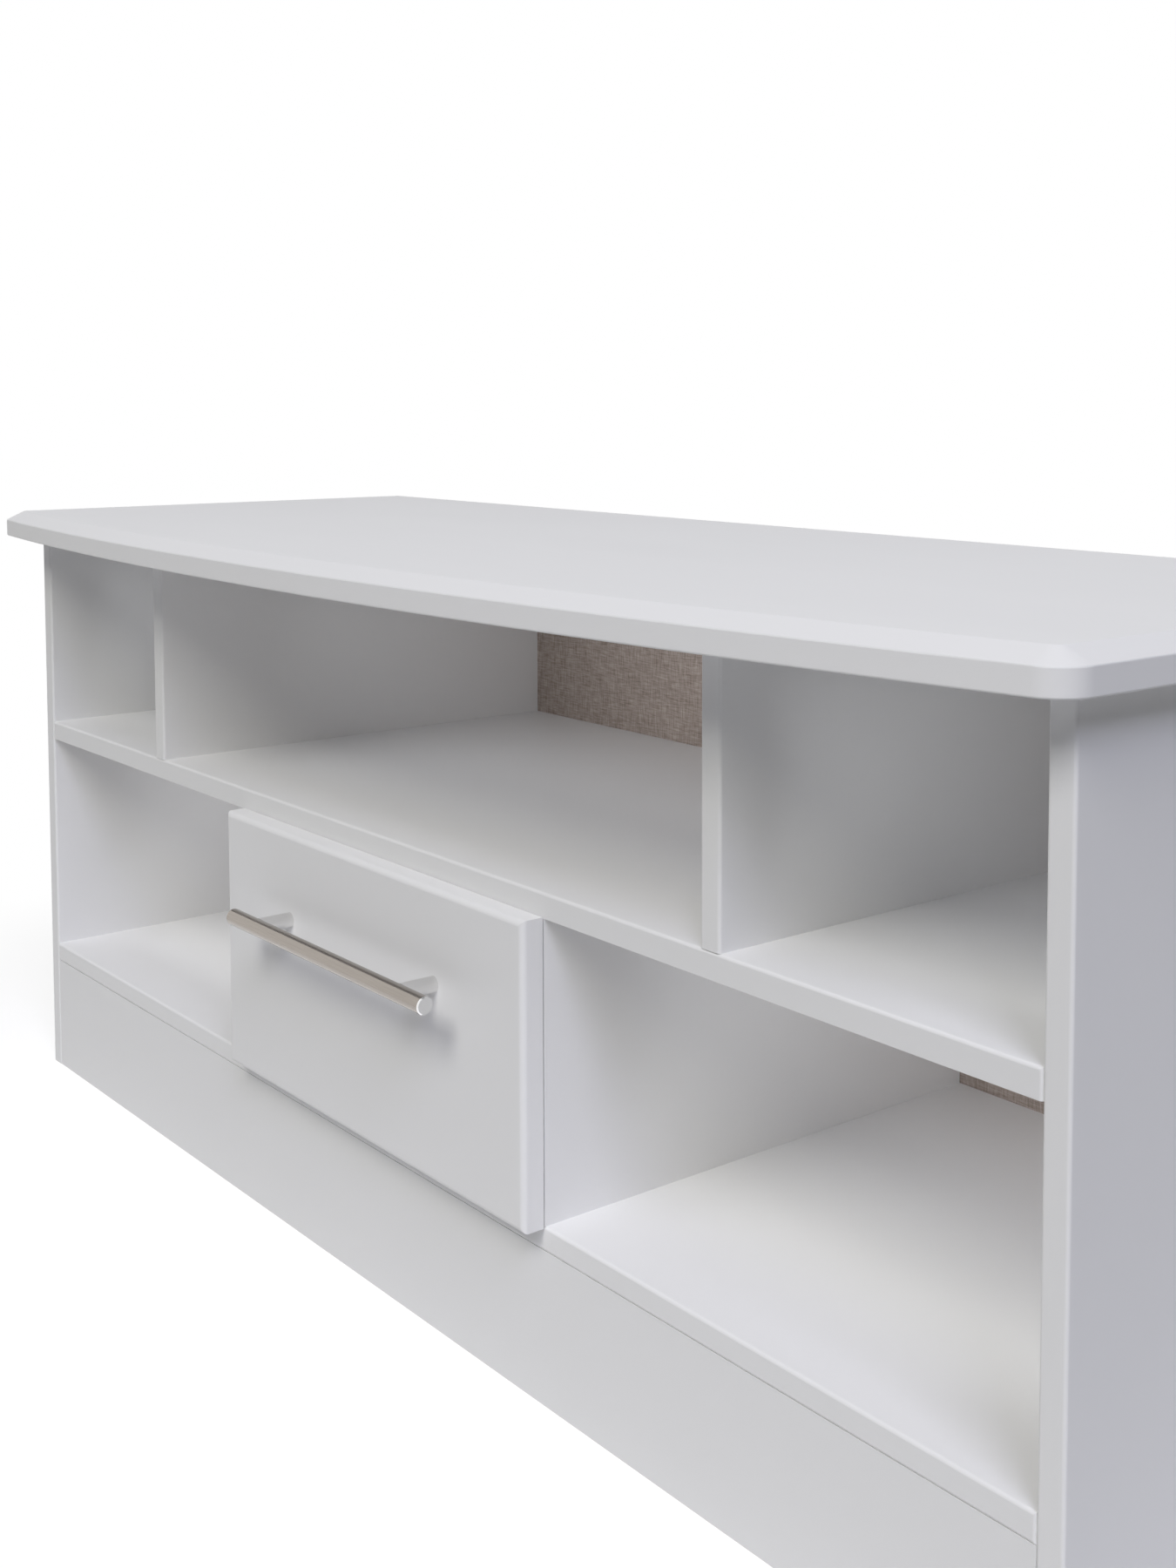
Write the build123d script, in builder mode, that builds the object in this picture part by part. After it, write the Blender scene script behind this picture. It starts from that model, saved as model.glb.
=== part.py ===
"""Bow-front media cabinet: open bays round a single drawer, in white boards with a hardboard back.

Millimetres. X runs across the cabinet, Y from front to back, Z up from the floor, and the
origin is on the floor under the middle of the whole outline.
"""

import math
import os

from build123d import *

# Carcass boards
board = 16.0
carcass_width = 1188.0
bay_depth = 383.0
side_height = 500.0
plinth_height = 100.0
plinth_setback = 0.5
shelf_underside = 310.0
outer_bay_width = 221.0
drawer_bay_width = 358.0
edge_round = 2.0
back_thickness = 3.0
back_rebate = 10.0
back_side_play = 0.5

# Bow-fronted top
top_thickness = 22.0
top_overhang = 18.0
bow_at_ends = 30.0
bow_at_middle = 75.0
top_corner_radius = 20.0
bevel_width = 15.0
bevel_drop = 7.5
top_edge_round = 1.2

# Drawer front and box
front_width = 390.0
front_low = 115.0
front_high = 311.0
front_gap = 0.5
front_edge_round = 4.0
front_back_chamfer = 0.5
box_board = 12.0
box_height = 140.0
box_length = 350.0
box_bottom_thickness = 3.0
groove_depth = 5.0
groove_height_up = 8.0
groove_play = 0.1
groove_end_room = 0.5

# Bar handle
bar_diameter = 12.0
bar_length = 260.0
bar_end_chamfer = 0.8
post_diameter = 11.0
post_spacing = 192.0
handle_reach = 34.0
handle_height = 248.0

# Roller runners: a channel on the cabinet, a slide rail on the drawer
runner_steel = 1.2
runner_gap = 12.5
runner_low = 128.0
channel_length = 350.0
channel_start = 3.0
channel_height = 22.2
channel_flange = 10.0
channel_mouth = 42.0
slide_length = 345.0
slide_start = 2.0
slide_flange = 10.0
slide_flange_top = 20.0
roller_radius = 8.5
roller_width = 7.5
roller_height_up = 10.0
roller_bore_play = 0.05
roller_end_play = 0.3
pin_radius = 2.0
pin_head_radius = 3.5
pin_head_thickness = 1.0
front_roller_from_front = 15.0
rear_roller_from_front = 333.0

# Dowels, screws and pins: many and buried in the boards, so they are six-sided rods
rod_sides = 6
dowel_radius = 4.0
dowel_length = 30.0
dowel_in_top = 12.0
dowel_in_board_face = 10.0
dowel_inset = 60.0
small_dowel_radius = 3.0
small_dowel_length = 24.0
small_dowel_in_side = 8.0
dowel_play = 0.05
dowel_end_room = 1.0
runner_screw_radius = 1.75
runner_screw_head_radius = 2.95
runner_screw_depth = 8.0
channel_screw_first = 37.0
channel_screw_step = 128.0
slide_screw_first = 69.0
slide_screw_step = 192.0
slide_screw_up = 4.0
front_screw_radius = 1.75
front_screw_head_radius = 3.5
front_screw_in_front = 12.0
front_screw_x = 120.0
handle_screw_radius = 2.0
handle_screw_in_post = 8.0
handle_screw_head_radius = 4.0
handle_screw_head_height = 2.4
back_pin_radius = 0.8
back_pin_head_radius = 1.8
back_pin_head_height = 0.5
back_pin_length = 16.0
back_pin_xs = (120.0, 470.0)
back_pin_drops = (60.0, 260.0)
hole_play = 0.05
glue_block_leg = 28.0
glue_block_length = 60.0
glue_block_spacing = 360.0

# Places worked out from the sizes above
half_width = carcass_width / 2
inner_half = half_width - board
top_half = half_width + top_overhang
overall_depth = bow_at_middle + bay_depth + back_thickness
front_y = bow_at_middle - overall_depth / 2
back_y = front_y + bay_depth
rear_y = back_y + back_thickness
plinth_mid_y = front_y + plinth_setback + board / 2
rail_mid_y = back_y - board / 2
base_top = plinth_height + board
shelf_top = shelf_underside + board
upper_divider_x = inner_half - outer_bay_width - board / 2
drawer_bay_half = drawer_bay_width / 2
lower_divider_x = drawer_bay_half + board / 2
front_back_y = front_y - front_gap
front_face_y = front_back_y - board
box_half = drawer_bay_half - runner_gap
box_inner_half = box_half - box_board
box_low = runner_low + 2 * runner_steel
box_high = box_low + box_height
box_inner_front_y = front_back_y + box_board
box_rear_y = front_back_y + box_length
box_inner_rear_y = box_rear_y - box_board
groove_low = box_low + groove_height_up
groove_high = groove_low + box_bottom_thickness + 2 * groove_play
bar_y = front_face_y - handle_reach + bar_diameter / 2
roller_z = runner_low + roller_height_up
channel_web_face = drawer_bay_half - runner_steel
slide_web_face = box_half + runner_steel
front_roller_y = front_y + front_roller_from_front
rear_roller_y = front_y + rear_roller_from_front

# Directions in which a cylinder's own axis can be laid
along_x = (0, 90, 0)
against_x = (0, -90, 0)
against_y = (90, 0, 0)
from_foot = (Align.CENTER, Align.CENTER, Align.MIN)
from_head = (Align.CENTER, Align.CENTER, Align.MAX)

os.makedirs("parts", exist_ok=True)


def save(piece, label):
    """Labels a finished piece and writes its file."""
    piece.part.label = label
    export_step(piece.part, f"parts/{label}.step")


def save_pair(right, label):
    """Writes a right-hand piece and its mirror image for the left."""
    with BuildPart() as left:
        mirror(right.part, about=Plane.YZ)
    save(left, f"left_{label}")
    save(right, f"right_{label}")


def slab(x, y, z, mode=Mode.ADD):
    """A rectangular block between two limits along each axis, in the piece being built."""
    with Locations(((x[0] + x[1]) / 2, (y[0] + y[1]) / 2, (z[0] + z[1]) / 2)):
        Box(x[1] - x[0], y[1] - y[0], z[1] - z[0], mode=mode)


def centred(middle, width):
    """The two limits of a width laid evenly about its middle."""
    return (middle - width / 2, middle + width / 2)


def rods(places, radius, start, end, taper=0.0, mode=Mode.ADD):
    """A six-sided rod at each place, between two distances along the place's own axis."""
    for place in places:
        with BuildSketch(Plane(place).offset(start)) as outline:
            RegularPolygon(radius, rod_sides)
        extrude(outline.sketch, amount=end - start, taper=taper, mode=mode)


def countersunk(places, shank, head, head_height, length, play=0.0, mode=Mode.ADD):
    """Countersunk screws driven in from each place, or with some play the holes for them."""
    flat_step = (head - shank) * math.cos(math.pi / rod_sides)
    head_taper = math.degrees(math.atan2(flat_step, head_height))
    rods(places, shank + play, 0, length + play, mode=mode)
    rods(places, head + play, 0, head_height, head_taper, mode)


# Dowel joints: a list of places for each, which the boards on both sides are bored for

three_ys = [front_y + dowel_inset, front_y + bay_depth / 2, back_y - dowel_inset]
two_ys = [three_ys[0], three_ys[-1]]


def upright_dowels(x, ys, joint_z, above):
    """Places of vertical dowels that cross a level joint, with this much of them above it."""
    z = joint_z + above - dowel_length / 2
    return [Location((sign * x, y, z)) for sign in (-1, 1) for y in ys]


def level_dowels(ys, zs):
    """Places of dowels along X that cross the side panels' inner faces."""
    x = inner_half + dowel_in_board_face - dowel_length / 2
    return [Location((sign * x, y, z), along_x) for sign in (-1, 1) for y in ys for z in zs]


in_edge = dowel_length - dowel_in_board_face
side_top_joint = upright_dowels(half_width - board / 2, three_ys, side_height, dowel_in_top)
divider_top_joint = upright_dowels(upper_divider_x, two_ys, side_height, dowel_in_top)
divider_foot_joint = upright_dowels(upper_divider_x, two_ys, shelf_top, in_edge)
drawer_wall_top_joint = upright_dowels(lower_divider_x, two_ys, shelf_underside, dowel_in_board_face)
drawer_wall_foot_joint = upright_dowels(lower_divider_x, two_ys, base_top, in_edge)
shelf_joint = level_dowels(two_ys, [shelf_underside + board / 2])
base_joint = level_dowels(two_ys, [plinth_height + board / 2])
plinth_joint = level_dowels([plinth_mid_y, rail_mid_y], [plinth_height / 4, plinth_height * 3 / 4])

box_corner_joint = [
    Location((sign * (box_inner_half + small_dowel_in_side - small_dowel_length / 2), y, z), along_x)
    for sign in (-1, 1)
    for y in (front_back_y + box_board / 2, box_rear_y - box_board / 2)
    for z in (box_low + box_height / 4, box_low + box_height * 3 / 4)
]


def bore_dowels(places, radius=dowel_radius, length=dowel_length):
    """Bores the piece being built for the dowels at these places."""
    half = length / 2 + dowel_end_room
    rods(places, radius + dowel_play, -half, half, mode=Mode.SUBTRACT)


def dowel_group(label, places, radius=dowel_radius, length=dowel_length):
    """Beech dowels, a separate solid at each place."""
    with BuildPart() as dowels:
        rods(places, radius, -length / 2, length / 2)
    save(dowels, label)


dowel_group("top_dowels", side_top_joint + divider_top_joint)
dowel_group("shelf_dowels", shelf_joint)
dowel_group("base_dowels", base_joint)
dowel_group("upper_divider_dowels", divider_foot_joint)
dowel_group("drawer_wall_dowels", drawer_wall_top_joint + drawer_wall_foot_joint)
dowel_group("plinth_dowels", plinth_joint)
dowel_group("drawer_box_dowels", box_corner_joint, small_dowel_radius, small_dowel_length)

# Panel pins: through the hardboard into the rear edges of the boards it closes

rebate_x = inner_half + back_rebate / 2
pin_spots = [(x, level + board / 2) for x in back_pin_xs for level in (plinth_height, shelf_underside)]
pin_spots += [(rebate_x, side_height - drop) for drop in back_pin_drops]
pin_spots += [(upper_divider_x, side_height - back_pin_drops[0])]
back_pin_places = [Location((sign * x, rear_y, z), against_y) for sign in (-1, 1) for x, z in pin_spots]


def back_pins(play=0.0, mode=Mode.ADD):
    """The panel pins with flush heads, or with some play the holes that they are driven into."""
    rods(back_pin_places, back_pin_radius + play, 0, back_pin_length + play, mode=mode)
    rods(back_pin_places, back_pin_head_radius + play, 0, back_pin_head_height + play, mode=mode)


with BuildPart() as back_panel_pins:
    back_pins()
save(back_panel_pins, "back_panel_pins")

back_half = inner_half + back_rebate - back_side_play

with BuildPart() as back_panel:
    slab((-back_half, back_half), (back_y, rear_y), (plinth_height, side_height))
    back_pins(hole_play, Mode.SUBTRACT)
save(back_panel, "back_panel")

# Carcass boards

# The top's plan is straight at the back and ends, with one shallow arc across the front.
# A wide, flat bevel runs round its ends and front and dies out at the back edge.
with BuildPart() as top_board:
    with BuildSketch(Plane.XY.offset(side_height)) as top_plan:
        with BuildLine():
            end_y = front_y - bow_at_ends
            ThreePointArc((-top_half, end_y), (0, front_y - bow_at_middle), (top_half, end_y))
            Polyline((top_half, end_y), (top_half, rear_y), (-top_half, rear_y), (-top_half, end_y))
        make_face()
        fillet(top_plan.vertices().group_by(Axis.Y)[0], top_corner_radius)
    extrude(amount=top_thickness)
    upper_face = top_board.faces().sort_by(Axis.Z)[-1]
    chamfer(upper_face.edges().sort_by(Axis.Y)[:-1], bevel_width, bevel_drop, reference=upper_face)
    lower_face = top_board.faces().sort_by(Axis.Z)[0]
    fillet(lower_face.edges().sort_by(Axis.Y)[:-1], top_edge_round)
    bevel_foot = side_height + top_thickness - bevel_drop
    fillet(top_board.edges().filter_by_position(Axis.Z, bevel_foot, bevel_foot), top_edge_round)
    bore_dowels(side_top_joint + divider_top_joint)
save(top_board, "top_board")

# Each side panel stands on the floor and is rebated inside its rear edge for the back panel.
with BuildPart() as side_panel:
    slab((inner_half, half_width), (front_y, rear_y), (0, side_height))
    fillet(side_panel.edges().filter_by(Axis.Z).group_by(Axis.Y)[0], edge_round)
    rebate = (inner_half, inner_half + back_rebate)
    slab(rebate, (back_y, rear_y), (plinth_height, side_height), Mode.SUBTRACT)
    bore_dowels(side_top_joint + shelf_joint + base_joint + plinth_joint)
    back_pins(hole_play, Mode.SUBTRACT)
save_pair(side_panel, "side_panel")

with BuildPart() as base_board:
    slab((-inner_half, inner_half), (front_y, back_y), (plinth_height, base_top))
    fillet(base_board.faces().sort_by(Axis.Y)[0].edges(), edge_round)
    bore_dowels(base_joint + drawer_wall_foot_joint)
    back_pins(hole_play, Mode.SUBTRACT)
save(base_board, "base_board")

# The shelf's lower front edge is left sharp, so that the drawer front closes up to it.
with BuildPart() as middle_shelf:
    slab((-inner_half, inner_half), (front_y, back_y), (shelf_underside, shelf_top))
    shelf_front_edges = middle_shelf.faces().sort_by(Axis.Y)[0].edges().sort_by(Axis.Z)
    fillet(shelf_front_edges[1:], edge_round)
    bore_dowels(shelf_joint + divider_foot_joint + drawer_wall_top_joint)
    back_pins(hole_play, Mode.SUBTRACT)
save(middle_shelf, "middle_shelf")

with BuildPart() as upper_divider:
    slab(centred(upper_divider_x, board), (front_y, back_y), (shelf_top, side_height))
    fillet(upper_divider.edges().filter_by(Axis.Z).group_by(Axis.Y)[0], edge_round)
    bore_dowels(divider_top_joint + divider_foot_joint)
    back_pins(hole_play, Mode.SUBTRACT)
save_pair(upper_divider, "upper_divider")

# Screws hold the cabinet channels to the walls of the drawer bay, with their heads sunk flush.
channel_screw_ys = [front_y + channel_screw_first + channel_screw_step * step for step in range(3)]
channel_screw_places = [Location((channel_web_face, y, roller_z), along_x) for y in channel_screw_ys]
slide_screw_ys = [front_y + slide_screw_first + slide_screw_step * step for step in range(2)]
slide_screw_z = box_low + slide_screw_up
slide_screw_places = [Location((slide_web_face, y, slide_screw_z), against_x) for y in slide_screw_ys]


def runner_screws(places, play=0.0, mode=Mode.ADD):
    """Countersunk screws through the runner steel, or with some play the holes for them."""
    length = runner_steel + runner_screw_depth
    countersunk(places, runner_screw_radius, runner_screw_head_radius, runner_steel, length, play, mode)


with BuildPart() as channel_screws:
    runner_screws(channel_screw_places)
    mirror(about=Plane.YZ)
save(channel_screws, "cabinet_runner_screws")

with BuildPart() as slide_screws:
    runner_screws(slide_screw_places)
    mirror(about=Plane.YZ)
save(slide_screws, "drawer_runner_screws")

# The drawer front covers the front edges of these walls, so they stay square.
with BuildPart() as drawer_wall:
    slab(centred(lower_divider_x, board), (front_y, back_y), (base_top, shelf_underside))
    bore_dowels(drawer_wall_top_joint + drawer_wall_foot_joint)
    runner_screws(channel_screw_places, hole_play, Mode.SUBTRACT)
save_pair(drawer_wall, "drawer_wall")

with BuildPart() as front_plinth:
    slab((-inner_half, inner_half), centred(plinth_mid_y, board), (0, plinth_height))
    bore_dowels(plinth_joint)
save(front_plinth, "front_plinth")

with BuildPart() as rear_plinth_rail:
    slab((-inner_half, inner_half), centred(rail_mid_y, board), (0, plinth_height))
    bore_dowels(plinth_joint)
save(rear_plinth_rail, "rear_plinth_rail")

# Three-cornered blocks glued into the angles between the plinth boards and the base.
block_faces = ((plinth_mid_y + board / 2, 1), (rail_mid_y - board / 2, -1))

with BuildPart() as glue_blocks:
    for face_y, inwards in block_faces:
        for x in (-glue_block_spacing, 0, glue_block_spacing):
            with BuildSketch(Plane.YZ.offset(x - glue_block_length / 2)):
                with BuildLine():
                    Polyline(
                        (face_y, plinth_height),
                        (face_y + inwards * glue_block_leg, plinth_height),
                        (face_y, plinth_height - glue_block_leg),
                        close=True,
                    )
                make_face()
            extrude(amount=glue_block_length)
save(glue_blocks, "plinth_glue_blocks")

# Roller runners

# Steel channel on the wall of the drawer bay. Its upper flange is cut back at the mouth, so
# that the drawer can be tipped and lifted out.
with BuildPart() as channel:
    with BuildSketch(Plane.XZ.offset(-(front_y + channel_start))):
        with BuildLine():
            outer = drawer_bay_half
            tip = drawer_bay_half - channel_flange
            low = runner_low
            high = runner_low + channel_height
            Polyline(
                (outer, low),
                (outer, high),
                (tip, high),
                (tip, high - runner_steel),
                (channel_web_face, high - runner_steel),
                (channel_web_face, low + runner_steel),
                (tip, low + runner_steel),
                (tip, low),
                close=True,
            )
        make_face()
    extrude(amount=-channel_length)
    mouth_y = (front_y + channel_start, front_y + channel_start + channel_mouth)
    slab((tip, channel_web_face), mouth_y, (high - runner_steel, high), Mode.SUBTRACT)
    runner_screws(channel_screw_places, hole_play, Mode.SUBTRACT)
save_pair(channel, "cabinet_runner")

# Steel rail on the drawer: a ledge under the side, a web up its face, and a flange that
# rides on the cabinet's front roller.
with BuildPart() as slide:
    with BuildSketch(Plane.XZ.offset(-(front_y + slide_start))):
        with BuildLine():
            ledge_low = box_low - runner_steel
            flange_high = runner_low + slide_flange_top
            flange_tip = box_half + slide_flange
            Polyline(
                (box_inner_half, ledge_low),
                (slide_web_face, ledge_low),
                (slide_web_face, flange_high - runner_steel),
                (flange_tip, flange_high - runner_steel),
                (flange_tip, flange_high),
                (box_half, flange_high),
                (box_half, box_low),
                (box_inner_half, box_low),
                close=True,
            )
        make_face()
    extrude(amount=-slide_length)
    runner_screws(slide_screw_places, hole_play, Mode.SUBTRACT)
save_pair(slide, "drawer_runner")


def roller(web_face_x, y, away):
    """A nylon roller on its bore, standing just clear of the web that its pin stands on."""
    with BuildPart() as wheel:
        with Locations(Location((web_face_x, y, roller_z), away)):
            with Locations((0, 0, roller_end_play)):
                Cylinder(roller_radius, roller_width, align=from_foot)
                Cylinder(
                    pin_radius + roller_bore_play,
                    roller_width,
                    align=from_foot,
                    mode=Mode.SUBTRACT,
                )
    return wheel


def roller_pins(web_face_x, y, away):
    """The pair of headed pins, staked to the webs, that a pair of rollers turns on."""
    reach = roller_width + 2 * roller_end_play
    with BuildPart() as pins:
        with Locations(Location((web_face_x, y, roller_z), away)):
            Cylinder(pin_radius, reach + pin_head_thickness, align=from_foot)
            with Locations((0, 0, reach)):
                Cylinder(pin_head_radius, pin_head_thickness, align=from_foot)
        mirror(about=Plane.YZ)
    return pins


save_pair(roller(channel_web_face, front_roller_y, against_x), "front_roller")
save_pair(roller(slide_web_face, rear_roller_y, along_x), "rear_roller")
save(roller_pins(channel_web_face, front_roller_y, against_x), "cabinet_roller_pins")
save(roller_pins(slide_web_face, rear_roller_y, along_x), "drawer_roller_pins")

# Drawer

front_screw_zs = (box_low + box_height / 4, box_low + box_height * 3 / 4)
front_screw_places = [
    Location((sign * front_screw_x, box_inner_front_y, z), against_y)
    for sign in (-1, 1)
    for z in front_screw_zs
]
handle_screw_places = [
    Location((sign * post_spacing / 2, box_inner_front_y, handle_height), against_y) for sign in (-1, 1)
]
handle_screw_length = box_board + board + handle_screw_in_post


def front_screws(play=0.0, mode=Mode.ADD):
    """Countersunk screws from inside the box into the drawer front, or the holes for them."""
    shank = front_screw_radius
    head = front_screw_head_radius
    length = box_board + front_screw_in_front
    countersunk(front_screw_places, shank, head, head - shank, length, play, mode)


def handle_screws(play=0.0, mode=Mode.ADD):
    """Shanks of the screws that hold the handle from inside the drawer, or the holes for them."""
    rods(handle_screw_places, handle_screw_radius + play, 0, handle_screw_length + play, mode=mode)


with BuildPart() as fixing_screws:
    front_screws()
save(fixing_screws, "drawer_front_screws")

with BuildPart() as bolt_group:
    handle_screws()
    with Locations(*handle_screw_places):
        Cylinder(handle_screw_head_radius, handle_screw_head_height, align=from_head)
save(bolt_group, "handle_screws")

with BuildPart() as drawer_front:
    slab(centred(0, front_width), (front_face_y, front_back_y), (front_low, front_high))
    fillet(drawer_front.faces().sort_by(Axis.Y)[0].edges(), front_edge_round)
    chamfer(drawer_front.faces().sort_by(Axis.Y)[-1].edges(), front_back_chamfer)
    front_screws(hole_play, Mode.SUBTRACT)
    handle_screws(hole_play, Mode.SUBTRACT)
save(drawer_front, "drawer_front")


def cut_groove(x, y):
    """Cuts the groove for the drawer bottom in the piece being built."""
    slab(x, y, (groove_low, groove_high), Mode.SUBTRACT)


box_across = (-box_inner_half, box_inner_half)

with BuildPart() as inner_front:
    slab(box_across, (front_back_y, box_inner_front_y), (box_low, box_high))
    cut_groove(box_across, (box_inner_front_y - groove_depth, box_inner_front_y))
    bore_dowels(box_corner_joint, small_dowel_radius, small_dowel_length)
    front_screws(hole_play, Mode.SUBTRACT)
    handle_screws(hole_play, Mode.SUBTRACT)
save(inner_front, "drawer_inner_front")

with BuildPart() as drawer_back:
    slab(box_across, (box_inner_rear_y, box_rear_y), (box_low, box_high))
    cut_groove(box_across, (box_inner_rear_y, box_inner_rear_y + groove_depth))
    bore_dowels(box_corner_joint, small_dowel_radius, small_dowel_length)
save(drawer_back, "drawer_back")

with BuildPart() as drawer_side:
    slab((box_inner_half, box_half), (front_back_y, box_rear_y), (box_low, box_high))
    fillet(drawer_side.edges().filter_by(Axis.Y).group_by(Axis.Z)[-1], edge_round)
    cut_groove((box_inner_half, box_inner_half + groove_depth), (front_back_y, box_rear_y))
    bore_dowels(box_corner_joint, small_dowel_radius, small_dowel_length)
    runner_screws(slide_screw_places, hole_play, Mode.SUBTRACT)
save_pair(drawer_side, "drawer_side")

with BuildPart() as drawer_bottom:
    tongue = groove_depth - groove_end_room
    bottom_y = (box_inner_front_y - tongue, box_inner_rear_y + tongue)
    bottom_z = (groove_low + groove_play, groove_high - groove_play)
    slab((-box_inner_half - tongue, box_inner_half + tongue), bottom_y, bottom_z)
save(drawer_bottom, "drawer_bottom")

# Handle: a round bar on two round posts that are hollowed to seat against it
bar_line = Location((0, bar_y, handle_height), along_x)

with BuildPart() as handle_bar:
    with Locations(bar_line):
        Cylinder(bar_diameter / 2, bar_length)
    chamfer(handle_bar.edges().filter_by(GeomType.CIRCLE), bar_end_chamfer)
save(handle_bar, "handle_bar")

with BuildPart() as post:
    with Locations(Location((post_spacing / 2, front_face_y, handle_height), against_y)):
        Cylinder(post_diameter / 2, front_face_y - bar_y, align=from_foot)
    with Locations(bar_line):
        Cylinder(bar_diameter / 2 + hole_play, bar_length, mode=Mode.SUBTRACT)
    handle_screws(hole_play, Mode.SUBTRACT)
save_pair(post, "handle_post")
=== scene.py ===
# %% [markdown]
# # A bow-front media cabinet
# The cabinet is already built to size as a set of boards, runners and fittings, so this lesson
# is about everything that makes those solids look like furniture: satin foil on the boards, a
# linen print on the back, brushed metal on the handle, the small turned and pressed fittings,
# and the soft light that a white cabinet needs. The first step loads the built pieces. Each one
# keeps its place for good, and its box tells us where to put anything that we add.

import math

import bpy
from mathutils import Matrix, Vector


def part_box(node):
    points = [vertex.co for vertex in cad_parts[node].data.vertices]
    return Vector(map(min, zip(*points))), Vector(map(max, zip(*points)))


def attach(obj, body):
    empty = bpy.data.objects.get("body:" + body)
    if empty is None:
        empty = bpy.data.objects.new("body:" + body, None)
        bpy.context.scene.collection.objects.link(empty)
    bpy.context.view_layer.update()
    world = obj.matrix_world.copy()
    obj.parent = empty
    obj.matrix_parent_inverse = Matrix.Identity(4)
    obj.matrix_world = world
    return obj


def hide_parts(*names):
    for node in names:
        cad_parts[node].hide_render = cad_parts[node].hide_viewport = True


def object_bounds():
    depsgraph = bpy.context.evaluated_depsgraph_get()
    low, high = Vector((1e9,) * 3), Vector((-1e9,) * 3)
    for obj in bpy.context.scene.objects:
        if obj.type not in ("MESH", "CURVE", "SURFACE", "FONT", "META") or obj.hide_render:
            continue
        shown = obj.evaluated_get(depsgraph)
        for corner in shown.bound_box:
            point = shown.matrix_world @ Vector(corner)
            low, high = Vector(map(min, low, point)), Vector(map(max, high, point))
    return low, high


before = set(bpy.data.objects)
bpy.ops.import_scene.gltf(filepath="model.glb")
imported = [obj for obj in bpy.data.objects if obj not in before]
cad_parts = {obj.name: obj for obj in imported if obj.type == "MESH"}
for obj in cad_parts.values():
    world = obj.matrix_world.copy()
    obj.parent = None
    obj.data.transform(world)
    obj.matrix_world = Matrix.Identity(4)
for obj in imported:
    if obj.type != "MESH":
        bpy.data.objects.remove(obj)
built_low, built_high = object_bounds()
built_size = [round(side, 3) for side in built_high - built_low]
print("built pieces:", len(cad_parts), "size in metres:", built_size)

# %% [markdown]
# ## The camera
# The picture is taken from close by the right front corner, a little above the top, with an
# upright camera that is hardly tilted. The verticals then stay almost upright, and a lens shift
# brings the cabinet down in the tall frame, as with a view camera. The place was found by laying
# the straight edges of the boards over the picture, so it is written here as plain measures. The
# axis pixel is the point of the picture that the lens looks at squarely.

# %% Camera
picture_width, picture_height = 1350, 1800
focal_pixels = 2145.9
axis_pixel = (745.0, 605.6)
camera_place = (1.1046, -0.8162, 0.6302)
camera_yaw, camera_pitch = 50.729, 4.102
sensor = 36.0

bpy.ops.object.camera_add(location=camera_place)
camera = bpy.context.object
camera.rotation_euler = (math.radians(90 - camera_pitch), 0, math.radians(camera_yaw))
camera.data.sensor_width = sensor
camera.data.lens = sensor * focal_pixels / picture_height
camera.data.shift_x = (picture_width / 2 - axis_pixel[0]) / picture_height
camera.data.shift_y = (axis_pixel[1] - picture_height / 2) / picture_height
bpy.context.scene.camera = camera
shift = round(camera.data.shift_x, 4), round(camera.data.shift_y, 4)
print("lens", round(camera.data.lens, 2), "mm, shift", shift)

# %% [markdown]
# ## A small language for finishes
# A finish is a tree of shader nodes. Placing nodes one by one makes long, dull code, so two small
# classes do it here. A `Wire` is the output of a node, and sums on wires add Math nodes. `Nodes`
# holds the tree and adds any other node: its settings first, then the values or wires of its
# sockets. With these a finish reads like the recipe that it is.

# %% Wires
class Wire:
    """The output of a shader node, for use in ordinary sums."""

    def __init__(self, nodes, output):
        self.nodes = nodes
        self.output = output

    def math(self, operation, *values):
        return self.nodes.add("ShaderNodeMath", {"operation": operation}, dict(enumerate(values)))

    def __add__(self, other):
        return self.math("ADD", self, other)

    def __sub__(self, other):
        return self.math("SUBTRACT", self, other)

    def __rsub__(self, other):
        return self.math("SUBTRACT", other, self)

    def __mul__(self, other):
        return self.math("MULTIPLY", self, other)

    def __gt__(self, other):
        return self.math("GREATER_THAN", self, other)

    def __lt__(self, other):
        return self.math("LESS_THAN", self, other)

    __radd__ = __add__
    __rmul__ = __mul__

    def sine(self):
        return self.math("SINE", self)

    def or_(self, other):
        return self.math("MAXIMUM", self, other)


# %% Nodes
mix_factor, mix_first, mix_second, mix_result = 0, 6, 7, 2


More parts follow.
